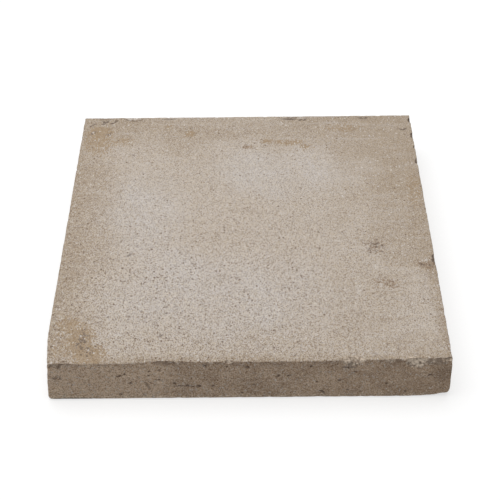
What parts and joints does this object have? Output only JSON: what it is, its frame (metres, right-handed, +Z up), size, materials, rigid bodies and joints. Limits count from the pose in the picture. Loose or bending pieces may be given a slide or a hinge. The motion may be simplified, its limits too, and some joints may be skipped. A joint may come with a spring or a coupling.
{
  "type": "concrete paving slab",
  "caption": "Square plain concrete paving slab with slightly battered sides, eased arrises and worn, chipped edges, laid flat on a bed to walk on",
  "frame": {"origin": "centre of the bedding face, level with the floor that the slab lies on", "axes": "+Z up out of the walking face, +X along the near side to the right, +Y away from the near side"},
  "size_m": [0.2998, 0.2998, 0.04],
  "materials": {
    "concrete": "matte, sandy, weathered"
  },
  "bodies": {
    "root": {"slab": "concrete"}
  },
  "joints": []
}
